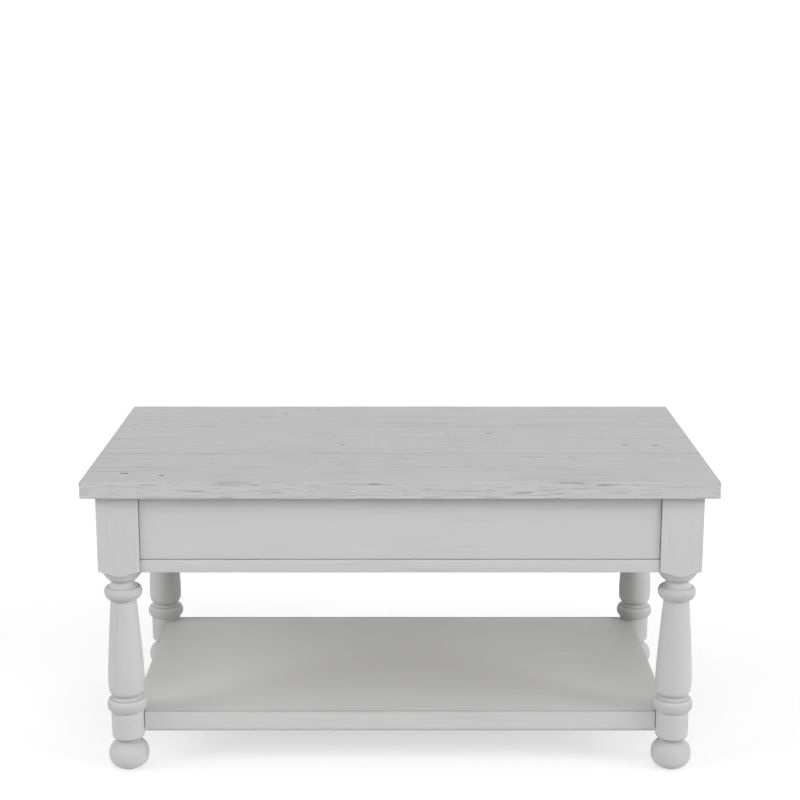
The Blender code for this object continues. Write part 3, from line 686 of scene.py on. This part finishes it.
def leg_profile(seat):
    """The turning, as (radius, height) in metres: pommel, bead, vase, bead, drum and ball foot."""
    pommel = [(0.0, seat + 0.01), (0.0640, seat + 0.01), (0.0640, 0.3630),
              *curve_through([(0.0600, 0.3590), (0.0488, 0.3528), (0.0400, 0.3492), (0.0345, 0.3452),
                              (0.0304, 0.3400), (0.0268, 0.3346), (0.0240, 0.3314)])]
    neck = curve_through([(0.0228, 0.3306), (0.0204, 0.3288), (0.0192, 0.3262), (0.0190, 0.3236),
                          (0.0203, 0.3212), (0.0228, 0.3198), (0.0242, 0.3188)], 4)
    upper_bead = [(0.0240, 0.3181), *bulge(0.3179, 0.0246, 0.2964, 0.0212, 0.0307)]
    vase = curve_through([(0.0208, 0.2956), (0.0211, 0.2930), (0.0234, 0.2650), (0.0267, 0.2190),
                          (0.0291, 0.1800), (0.0298, 0.1520), (0.0290, 0.1400), (0.0268, 0.1345),
                          (0.0240, 0.1318)])
    lower_neck = [(0.0222, 0.1309), (0.0217, 0.1296), (0.0219, 0.1286)]
    lower_collar = curve_through([(0.0240, 0.1276), (0.0258, 0.1267), (0.0266, 0.1257), (0.0265, 0.1250)], 4)
    lower_bead = [(0.0260, 0.1245), *bulge(0.1243, 0.0268, 0.1036, 0.0268, 0.0329)]
    drum = [(0.0261, 0.1030), (0.0261, 0.1020), (0.0267, 0.1012), (DRUM_RADIUS, 0.1000),
            (DRUM_RADIUS, 0.0860),
            (0.0268, 0.0640), *curve_through([(0.0266, 0.0596), (0.0260, 0.0572), (0.0246, 0.0560),
                                              (0.0226, 0.0555)], 4),
            (0.0212, 0.0550), (0.0207, 0.0536), (0.0206, 0.0498)]
    foot_radius, foot_fullness, foot_steps = 0.0331, 2.35, 28
    foot_top, foot_middle, foot_low = 0.0485, 0.0254, 0.0028
    upper_half, lower_half = 0.0262, 0.0249
    foot = []
    for i in range(foot_steps + 1):
        height = foot_low + (foot_top - foot_low) * (1 + math.cos(math.pi * i / foot_steps)) / 2
        share = abs(height - foot_middle) / (upper_half if height > foot_middle else lower_half)
        foot.append((foot_radius * (1 - share ** foot_fullness) ** (1 / foot_fullness), height))
    return [*pommel, *neck, *upper_bead, *vase, *lower_neck, *lower_collar, *lower_bead, *drum, *foot,
            (0.0, foot[-1][1])]


def make_legs():
    low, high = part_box("leg_front_left")
    centre = Vector(((low.x + high.x) / 2, (low.y + high.y) / 2, 0.0))
    half = (high.x - low.x) / 2
    lathe = turned("leg_turning", leg_profile(high.z))
    points, normals, faces = block((-half, -half, -0.02), (half, half, high.z), BLOCK_ARRIS, 6 * MM)
    points = points - normals * (0.10 * MM * (1 + lattice_noise(points, (60, 60, 9))))[:, None]
    blank = mesh_of("leg_blank", [(points, faces.tolist())])
    mesh = cut(blank, lathe, "INTERSECT")
    smooth(mesh)
    heights = np.array([v.co.z for v in mesh.vertices])
    # Painted shade by height: darkest in the creases and on the beads.
    crease_and_bead_shade = [strength * (1 - smooth_step(np.abs(heights - z), width / 2, width))
            for z, width, strength in LEG_PAINTED_SHADE]
    add_float(mesh, "dark_joints_and_shade", np.maximum.reduce(crease_and_bead_shade))
    for end, sy in ENDS:
        for side, sx in SIDES:
            leg = mesh.copy()
            leg.transform(Matrix.Translation((sx * abs(centre.x), sy * abs(centre.y), 0.0)))
            add_piece(f"turned_leg_{end}_{side}", leg, PAINT[2], "table_frame",
                      [f"leg_{end}_{side}"])


# ---- Aprons, rails, shelf ----

def painted_block(low, high, arris, axis):
    """A block whose faces have the slight waves of planed and painted wood."""
    points, normals, faces = block(low, high, arris, PANEL_SPACING)
    waves = lattice_noise(points, stretched(axis, 7, 34), 3.0)
    return points - normals * (PAINT_WAVE * (1 + waves))[:, None], faces.tolist()


def make_panel(where, axis, sign):
    """An apron: a back board, and on it a raised field with a narrow reveal at its sides and foot."""
    across = 1 - axis
    low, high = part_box(f"apron_{where}")
    reveal = Vector((FIELD_REVEAL, FIELD_REVEAL, 0))
    reveal[across] = 0.0
    back_low, back_high, field_low, field_high = low.copy(), high.copy(), low + reveal, high - reveal
    field_low.z = low.z + FIELD_REVEAL - RAIL_SAG
    if sign > 0:
        back_high[across] -= FIELD_HEIGHT
        field_low[across] = back_high[across] - MM
    else:
        back_low[across] += FIELD_HEIGHT
        field_high[across] = back_low[across] + MM
    mesh = mesh_of(f"apron_panel_{where}", [painted_block(back_low, back_high, HIDDEN_ARRIS, axis),
                                            painted_block(field_low, field_high, FIELD_ARRIS, axis)])
    add_piece(f"apron_panel_{where}", mesh, PAINT[axis], "table_frame", [f"apron_{where}"])


def make_rail(where, axis, sign):
    """The rail under an apron, with the ledge inside it that carries the box floor."""
    across = 1 - axis
    low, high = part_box(f"bottom_rail_{where}")
    rail_low, rail_high, ledge_low, ledge_high = low.copy(), high.copy(), low.copy(), high.copy()
    ledge_high.z = low.z + LEDGE_HEIGHT
    rail_low.z -= RAIL_SAG
    rail_high.z -= RAIL_SAG
    if sign > 0:
        rail_low[across] += LEDGE_WIDTH
        ledge_high[across] = rail_low[across] + MM
    else:
        rail_high[across] -= LEDGE_WIDTH
        ledge_low[across] = rail_high[across] - MM
    mesh = mesh_of(f"lower_rail_{where}", [painted_block(rail_low, rail_high, RAIL_ARRIS, axis),
                                           painted_block(ledge_low, ledge_high, HIDDEN_ARRIS, axis)])
    add_piece(f"lower_rail_{where}", mesh, PAINT[axis], "table_frame",
              [f"bottom_rail_{where}"])


def make_shelf():
    """The shelf, with a fine line where its front and back edgings meet the panel, cut round the legs."""
    low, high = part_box("shelf")
    lines = [sign * (high.y - SHELF_LINE_INSET + step * SHELF_LINE_WIDTH / 2)
             for sign in (-1, 1) for step in (-1, -0.5, 0, 0.5, 1)]
    points, normals, faces = block(low, high, SHELF_ARRIS, (PANEL_SPACING, 4 * MM, 4 * MM), lines)
    inset = np.abs(np.abs(points[:, 1]) - (high.y - SHELF_LINE_INSET))
    line = 1 - smooth_step(inset, 0.0, SHELF_LINE_WIDTH / 2)
    line = line * (np.abs(normals[:, 2]) > 0.9)
    waves = 0.09 * MM * (1 + lattice_noise(points, (5, 22, 22)))
    points = points - normals * (waves + SHELF_LINE_DEPTH * line)[:, None]
    mesh = mesh_of("shelf_board", [(points, faces.tolist())])
    leg_low, leg_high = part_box("leg_front_right")
    leg_x, leg_y = (leg_low.x + leg_high.x) / 2, abs(leg_low.y + leg_high.y) / 2
    radius = DRUM_RADIUS + DRUM_CLEARANCE
    top, bottom = high.z + 0.01, low.z - 0.01
    notch = parts_of(turned("notch", [(0.0, top), (radius, top), (radius, bottom), (0.0, bottom)], 96))
    notches = mesh_of("notches", [stamped(notch, (sx * leg_x, sy * leg_y, 0.0), (0, 0, 1))
                                  for _, sx in SIDES for _, sy in ENDS])
    mesh = cut(mesh, notches, "DIFFERENCE")
    smooth(mesh)
    inset = np.array([abs(abs(v.co.y) - (high.y - SHELF_LINE_INSET)) for v in mesh.vertices])
    line = 1 - smooth_step(inset, SHELF_LINE_WIDTH / 4, SHELF_LINE_WIDTH / 2)
    # Painted shade on the middle of the shelf's top, which lies under the box.
    middle = 1 - smooth_step(np.array([abs(v.co.x) for v in mesh.vertices]), 0.08, 0.36)
    heights = np.array([v.co.z for v in mesh.vertices])
    middle *= heights > high.z - SHELF_ARRIS
    # The shelf's underside is darkened: painted shade.
    lowest = heights < low.z + SHELF_ARRIS
    add_float(mesh, "dark_joints_and_shade", np.maximum.reduce([line, SHELF_MIDDLE_SHADE * middle, 0.5 * lowest]))
    add_piece("shelf_board", mesh, LIGHTER_SHELF_PAINT, "table_frame", ["shelf"])


# ---- Lift ----

def pivot(node):
    """The (y, z) centre of a pin."""
    low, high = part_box(node)
    return ((low.y + high.y) / 2, (low.z + high.z) / 2)


def polar(centre, length, degrees):
    angle = math.radians(degrees)
    return (centre[0] + length * math.cos(angle), centre[1] + length * math.sin(angle))


def circle(centre, radius, count=32):
    return [polar(centre, radius, -360 * i / count) for i in range(count)]


def heading(start, end):
    return math.degrees(math.atan2(end[1] - start[1], end[0] - start[0]))


def bar_outline(start, end, radius, half_width, count=24):
    """A straight bar with a round eye at each end."""
    along = heading(start, end)
    reach = 180 - math.degrees(math.asin(min(1.0, half_width / radius)))
    return [polar(centre, radius, turn - reach + 2 * reach * i / count)
            for centre, turn in ((end, along), (start, along + 180)) for i in range(count + 1)]


def poly_curve(name, lines, closed, **settings):
    """A curve of straight runs through each list of points."""
    curve = bpy.data.curves.new(name, "CURVE")
    for key, value in settings.items():
        setattr(curve, key, value)
    for line in lines:
        spline = curve.splines.new("POLY")
        spline.points.add(len(line) - 1)
        for point, place in zip(spline.points, line):
            point.co = (*place, 1.0)
        spline.use_cyclic_u = closed
    return curve


def plate(name, outlines, x_low, x_high):
    """A flat plate with eased edges in the YZ plane: the first outline is its edge, the others are holes."""
    lines = [[(y, z, 0.0) for y, z in outline] for outline in outlines]
    curve = poly_curve(name, lines, True, dimensions="2D", fill_mode="BOTH",
                       extrude=(x_high - x_low) / 2 - PLATE_ARRIS, bevel_depth=PLATE_ARRIS,
                       bevel_resolution=2, offset=-PLATE_ARRIS)
    obj = new_object(name, curve)
    # The curve's own X, Y and Z become the table's Y, Z and X.
    obj.matrix_world = Matrix(((0, 0, 1, (x_low + x_high) / 2), (1, 0, 0, 0), (0, 1, 0, 0), (0, 0, 0, 1)))
    bpy.context.view_layer.update()
    mesh = evaluated_mesh(obj)
    bm = bmesh.new()
    bm.from_mesh(mesh)
    bmesh.ops.remove_doubles(bm, verts=bm.verts, dist=0.01 * MM)
    bmesh.ops.recalc_face_normals(bm, faces=bm.faces)
    bm.to_mesh(mesh)
    bm.free()
    smooth(mesh)
    return mesh


def make_arms(side):
    for end in ("front", "back"):
        node = f"{end}_arm_{side}"
        low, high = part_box(node)
        base, lid = pivot(f"base_pin_{end}_{side}"), pivot(f"lid_pin_{end}_{side}")
        outlines = [bar_outline(base, lid, EYE_RADIUS, ARM_HALF_WIDTH)]
        outlines += [circle(centre, PIN_RADIUS + GAP) for centre in (base, lid)]
        meshes = [plate(node, outlines, low.x, high.x)]
        body = "front_arms"
        if end == "front":
            lever = pivot(f"lever_pin_{side}")
            start = polar(base, EYE_RADIUS, heading(base, lever))
            lever_bar = bar_outline(lever, start, LEVER_EYE_RADIUS, LEVER_EYE_RADIUS - 0.5 * MM)
            meshes.append(plate(f"lever_{side}", [lever_bar, circle(lever, SPRING_PIN_RADIUS + GAP)],
                                low.x, high.x))
        else:
            body = f"back_arm_{side}"
        mesh = meshes[0] if len(meshes) == 1 else mesh_of(node, [parts_of(m) for m in meshes])
        add_piece(f"lift_arm_{end}_{side}", mesh, BLACK_STEEL, body, [node])


def rivet_mesh(name, node, head_radius, shank_radius, head_height=2.6 * MM):
    """A rivet along X, with its domed head at the end where the CAD pin has one."""
    low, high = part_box(node)
    centre = pivot(node)
    points = np.array([v.co for v in frame["nodes"][node].data.vertices])
    radii = np.hypot(points[:, 1] - centre[0], points[:, 2] - centre[1])
    head_x = points[radii > radii.max() - 0.2 * MM][:, 0]
    head_at_high = abs(head_x.max() - high.x) < 0.5 * MM
    length = high.x - low.x
    dome = [(head_radius * math.sin(a), length - head_height * 0.55 * (1 - math.cos(a)))
            for a in np.linspace(0, math.pi / 2, 8)]
    dome[0] = (0.0, length)
    profile = [*dome, (head_radius, length - head_height * 0.8),
               (head_radius - 0.3 * MM, length - head_height),
               (shank_radius, length - head_height), (shank_radius, 0.4 * MM),
               (shank_radius - 0.4 * MM, 0.0), (0.0, 0.0)]
    part = parts_of(turned(name, profile, 40))
    if head_at_high:
        return mesh_of(name, [stamped(part, (low.x, *centre), (1, 0, 0))])
    return mesh_of(name, [stamped(part, (high.x, *centre), (-1, 0, 0))])


def make_rivets(side):
    for end in ("front", "back"):
        for level, body in (("base", "table_frame"), ("lid", "lid")):
            node = f"{level}_pin_{end}_{side}"
            mesh = rivet_mesh(f"rivet_{level}_{end}_{side}", node, PIN_HEAD_RADIUS - 0.3 * MM, PIN_RADIUS)
            add_piece(f"rivet_{level}_{end}_{side}", mesh, PIN_STEEL, body, [node])
    for node, body in ((f"lever_pin_{side}", "front_arms"), (f"spring_anchor_pin_{side}", "table_frame")):
        mesh = rivet_mesh(f"shouldered_{node}", node, 4.2 * MM, SPRING_PIN_RADIUS, 2.2 * MM)
        add_piece(f"shouldered_{node}", mesh, PIN_STEEL, body, [node])


def make_spring(side, sx):
    """A close-wound extension spring between the lever's pin and the anchor pin, with a hook at each end.
    The hooks are long enough that they still clear their pins when the spring has shortened."""
    lever, anchor = pivot(f"lever_pin_{side}"), pivot(f"spring_anchor_pin_{side}")
    low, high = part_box(f"lift_spring_{side}")
    x = (low.x + high.x) / 2
    joint = next(j for j in frame["joints"] if j["name"] == "lid_lift")
    swing = math.radians(max(joint["range_deg"]))
    hinge = pivot(f"base_pin_front_{side}")
    reach = math.hypot(lever[0] - hinge[0], lever[1] - hinge[1])
    opened = hinge[0] + reach * math.cos(math.radians(heading(hinge, lever)) + swing)
    keep = (anchor[0] - opened) / (anchor[0] - lever[0])
    eye = SPRING_PIN_RADIUS + SPRING_WIRE + 0.7 * MM
    stretch = ((SPRING_PIN_RADIUS + GAP) / keep + SPRING_WIRE) / eye

    def hook(centre, degrees):
        along, up = polar(centre, eye, degrees)
        return x, centre[0] + (along - centre[0]) * stretch, up

    coil = SPRING_RADIUS - SPRING_WIRE
    start, end = lever[0] + HOOK_LENGTH, anchor[0] - HOOK_LENGTH
    per_turn = 16
    points = []
    for i in range(HOOK_STEPS + 1):
        points.append(hook(lever, 60 + HOOK_SWEEP * i / HOOK_STEPS))
    points.append((x, start - 3 * MM, lever[1] - 0.5 * MM))
    for i in range(SPRING_TURNS * per_turn + 1):
        angle = 2 * math.pi * i / per_turn
        along = start + (end - start) * i / (SPRING_TURNS * per_turn)
        points.append((x + sx * coil * math.sin(angle), along, lever[1] + coil * math.cos(angle)))
    points.append((x, end + 3 * MM, anchor[1] + 0.5 * MM))
    for i in range(HOOK_STEPS + 1):
        points.append(hook(anchor, 142 - HOOK_SWEEP * i / HOOK_STEPS))
    curve = poly_curve(f"wound_spring_{side}", [points], False, dimensions="3D", bevel_depth=SPRING_WIRE,
                       bevel_resolution=2, use_fill_caps=True)
    mesh = evaluated_mesh(new_object(f"wound_spring_{side}", curve))
    smooth(mesh)
    obj = add_piece(f"wound_spring_{side}", mesh, SPRING_STEEL, "table_frame",
                    [f"lift_spring_{side}"])
    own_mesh(obj)


def make_cross_tube():
    """The tube that ties the two front arms."""
    low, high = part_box("cross_tube")
    outer, ease, length = (high.z - low.z) / 2, 0.4 * MM, high.x - low.x
    inner = outer - TUBE_WALL
    section = [(outer - ease, 0.0), (outer, ease), (outer, length - ease), (outer - ease, length),
               (inner, length), (inner, 0.0)]
    tube = parts_of(spun("tube", section, 48, closed=True))
    mesh = mesh_of("tie_tube", [stamped(tube, (low.x, *pivot("cross_tube")), (1, 0, 0))])
    add_piece("tie_tube", mesh, BLACK_STEEL, "front_arms", ["cross_tube"])


def screw_part():
    """A countersunk-oval screw head with a cross recess, its seat at height 0."""
    dome = [(SCREW_HEAD_RADIUS * math.sin(a), SCREW_HEAD_HEIGHT * math.cos(a) ** 0.8)
            for a in np.linspace(0, math.pi / 2 - 0.12, 9)]
    dome[0] = (0.0, SCREW_HEAD_HEIGHT)
    head = turned("screw_head", [*dome, (SCREW_HEAD_RADIUS, 0.15 * MM), (SCREW_HEAD_RADIUS, -0.2 * MM),
                                 (1.8 * MM, -0.25 * MM), (1.8 * MM, -0.6 * MM), (0.0, -0.6 * MM)], 32)
    arms = []
    for turn in (0, math.pi / 2):
        points, _, faces = block((-2.2 * MM, -0.45 * MM, 0.5 * MM), (2.2 * MM, 0.45 * MM, 3 * MM),
                                 0.1 * MM, 2 * MM)
        arms.append(stamped((points, faces.tolist()), (0, 0, 0), (0, 0, 1), turn))
    for arm in arms:
        head = cut(head, mesh_of("recess", [arm]), "DIFFERENCE")
    return parts_of(head)


def add_screws(name, body, places):
    """All the screws on one body, from (place, direction) pairs, each turned a little further."""
    part = screw_part()
    mesh = mesh_of(name, [stamped(part, place, direction, 0.7 * i)
                          for i, (place, direction) in enumerate(places)])
    add_piece(name, mesh, PIN_STEEL, body)


def make_screws():
    frame_places, lid_places = [], []
    for side, sx in SIDES:
        base_low, base_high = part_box(f"base_bracket_{side}")
        foot_top = base_low.z + BRACKET_PLATE
        foot_x = (base_low.x + base_high.x) / 2 - sx * 2 * MM
        for share in BASE_SCREW_SHARES:
            y = base_low.y + share * (base_high.y - base_low.y)
            frame_places.append(((foot_x, y, foot_top), (0, 0, 1)))
        lid_low, lid_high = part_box(f"lid_bracket_{side}")
        flange_x = (lid_low.x + lid_high.x) / 2 - sx * 1.5 * MM
        for share in LID_SCREW_SHARES:
            y = lid_low.y + share * (lid_high.y - lid_low.y)
            lid_places.append(((flange_x, y, lid_high.z - BRACKET_PLATE), (0, 0, -1)))
        batten_low, batten_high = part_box(f"lid_batten_{side}")
        x = (batten_low.x + batten_high.x) / 2
        nearest, farthest = batten_low.y + BATTEN_SCREW_MARGIN, batten_high.y - BATTEN_SCREW_MARGIN
        for number in range(1, BOARD_COUNT + 1):
            board_low, board_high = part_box(f"lid_board_{number}")
            y = min(max((board_low.y + board_high.y) / 2, nearest), farthest)
            lid_places.append(((x, y, batten_low.z), (0, 0, -1)))
        for end, sy in ENDS:
            low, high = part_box(f"corner_block_{end}_{side}")
            for share in BLOCK_SCREW_SHARES:
                z = low.z + share * (high.z - low.z)
                inner_y = low.y if sy > 0 else high.y
                frame_places.append((((low.x + high.x) / 2, inner_y, z), (0, -sy, 0)))
    add_screws("frame_screws", "table_frame", frame_places)
    add_screws("lid_screws", "lid", lid_places)


def finish_cad_nodes():
    """Materials and eased edges for the CAD parts whose own shape is right."""
    inner_axis = {"storage_box_floor": 0, "lid_batten_left": 1, "lid_batten_right": 1}
    for name, obj in frame["nodes"].items():
        if obj.hide_render:
            continue
        if name.startswith(("base_bracket", "lid_bracket")):
            material, ease = BLACK_STEEL, 0.6 * MM
        elif name.startswith("rest_pad"):
            material, ease = FELT, 0.4 * MM
        elif name.startswith("foot_glide"):
            material, ease = NYLON, 0.5 * MM
        elif name.startswith("corner_block"):
            material, ease = INNER[2], 0.0
        else:
            material, ease = INNER[inner_axis[name]], 0.4 * MM
        obj.data.materials.clear()
        obj.data.materials.append(material)
        if ease:
            bevel = obj.modifiers.new("eased", "BEVEL")
            bevel.width = ease
            bevel.segments = 2
            bevel.limit_method = "ANGLE"
            bevel.angle_limit = math.radians(40)


# ---- Studio ----

def make_floor(name, height, albedo, glow):
    """A wide white plane; the object's own ray visibility says what it is for."""
    mesh = bpy.data.meshes.new(name)
    h = FLOOR_HALF
    corners = [(-h, -h, height), (h, -h, height), (h, h, height), (-h, h, height)]
    mesh.from_pydata(corners, [], [(0, 1, 2, 3)])
    floor = new_object(name, mesh)
    f = Finish(name, 0.9, 0.0)
    f.shader.inputs["Base Color"].default_value = (albedo, albedo, albedo, 1.0)
    f.shader.inputs["Emission Color"].default_value = (1.0, 1.0, 1.0, 1.0)
    f.shader.inputs["Emission Strength"].default_value = glow
    mesh.materials.append(f.material)
    return floor


def make_studio():
    """The floor that shows, one just below it that only bounces light, and a white backdrop all round."""
    shown = make_floor("studio_floor", 0.0, FLOOR_ALBEDO, FLOOR_GLOW)
    for ray in ("visible_diffuse", "visible_glossy", "visible_transmission", "visible_shadow"):
        setattr(shown, ray, False)
    bounce = make_floor("bounce_floor", -0.5 * MM, BOUNCE_ALBEDO, 0.0)
    bounce.visible_camera = False
    bm = bmesh.new()
    bmesh.ops.create_uvsphere(bm, u_segments=48, v_segments=24, radius=FLOOR_HALF * 1.3)
    mesh = bpy.data.meshes.new("white_backdrop")
    bm.to_mesh(mesh)
    bm.free()
    backdrop = new_object("white_backdrop", mesh)
    f = Finish("backdrop_white", 1.0, 0.0)
    f.shader.inputs["Base Color"].default_value = (0.0, 0.0, 0.0, 1.0)
    f.shader.inputs["Emission Color"].default_value = (1.0, 1.0, 1.0, 1.0)
    f.shader.inputs["Emission Strength"].default_value = BACKDROP_GLOW
    mesh.materials.append(f.material)
    for ray in ("visible_diffuse", "visible_glossy", "visible_transmission", "visible_shadow"):
        setattr(backdrop, ray, False)
    world = bpy.data.worlds.new("soft_sky")
    world.use_nodes = True
    background = world.node_tree.nodes["Background"]
    background.inputs["Color"].default_value = (1.0, 1.0, 1.0, 1.0)
    background.inputs["Strength"].default_value = SKY_STRENGTH
    bpy.context.scene.world = world


def make_lamps():
    """Broad distant lamps, each a soft disc of light."""
    for name, azimuth, elevation, spread, strength in LAMPS:
        light = bpy.data.lights.new(name, "SUN")
        light.angle = math.radians(spread)
        light.energy = strength
        lamp = bpy.data.objects.new(name, light)
        bpy.context.scene.collection.objects.link(lamp)
        a, e = math.radians(azimuth), math.radians(elevation)
        away = Vector((math.sin(a) * math.cos(e), -math.cos(a) * math.cos(e), math.sin(e)))
        lamp.rotation_euler = away.to_track_quat("Z", "Y").to_euler()


def make_camera():
    data = bpy.data.cameras.new("camera")
    data.lens = CAMERA_LENS
    data.sensor_width = SENSOR
    data.clip_end = 200.0
    camera = bpy.data.objects.new("camera", data)
    camera.location = CAMERA_PLACE
    camera.rotation_euler = (math.pi / 2 - CAMERA_PITCH, 0.0, 0.0)
    bpy.context.scene.collection.objects.link(camera)
    bpy.context.scene.camera = camera
    bpy.context.scene.view_settings.view_transform = "Standard"


BOARD_COUNT = sum(name.startswith("lid_board_") for name in frame["nodes"])
LID_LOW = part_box("lid_board_1")[0].z
LID_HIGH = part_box("lid_board_1")[1].z
LID_HIGH_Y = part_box(f"lid_board_{BOARD_COUNT}")[1].y

make_camera()
make_planks()
make_legs()
for where, axis, sign in (("front", 0, -1), ("back", 0, 1), ("left", 1, -1), ("right", 1, 1)):
    make_panel(where, axis, sign)
    make_rail(where, axis, sign)
make_shelf()
for side, sx in SIDES:
    make_arms(side)
    make_rivets(side)
    make_spring(side, sx)
make_cross_tube()
make_screws()
finish_cad_nodes()
make_studio()
make_lamps()
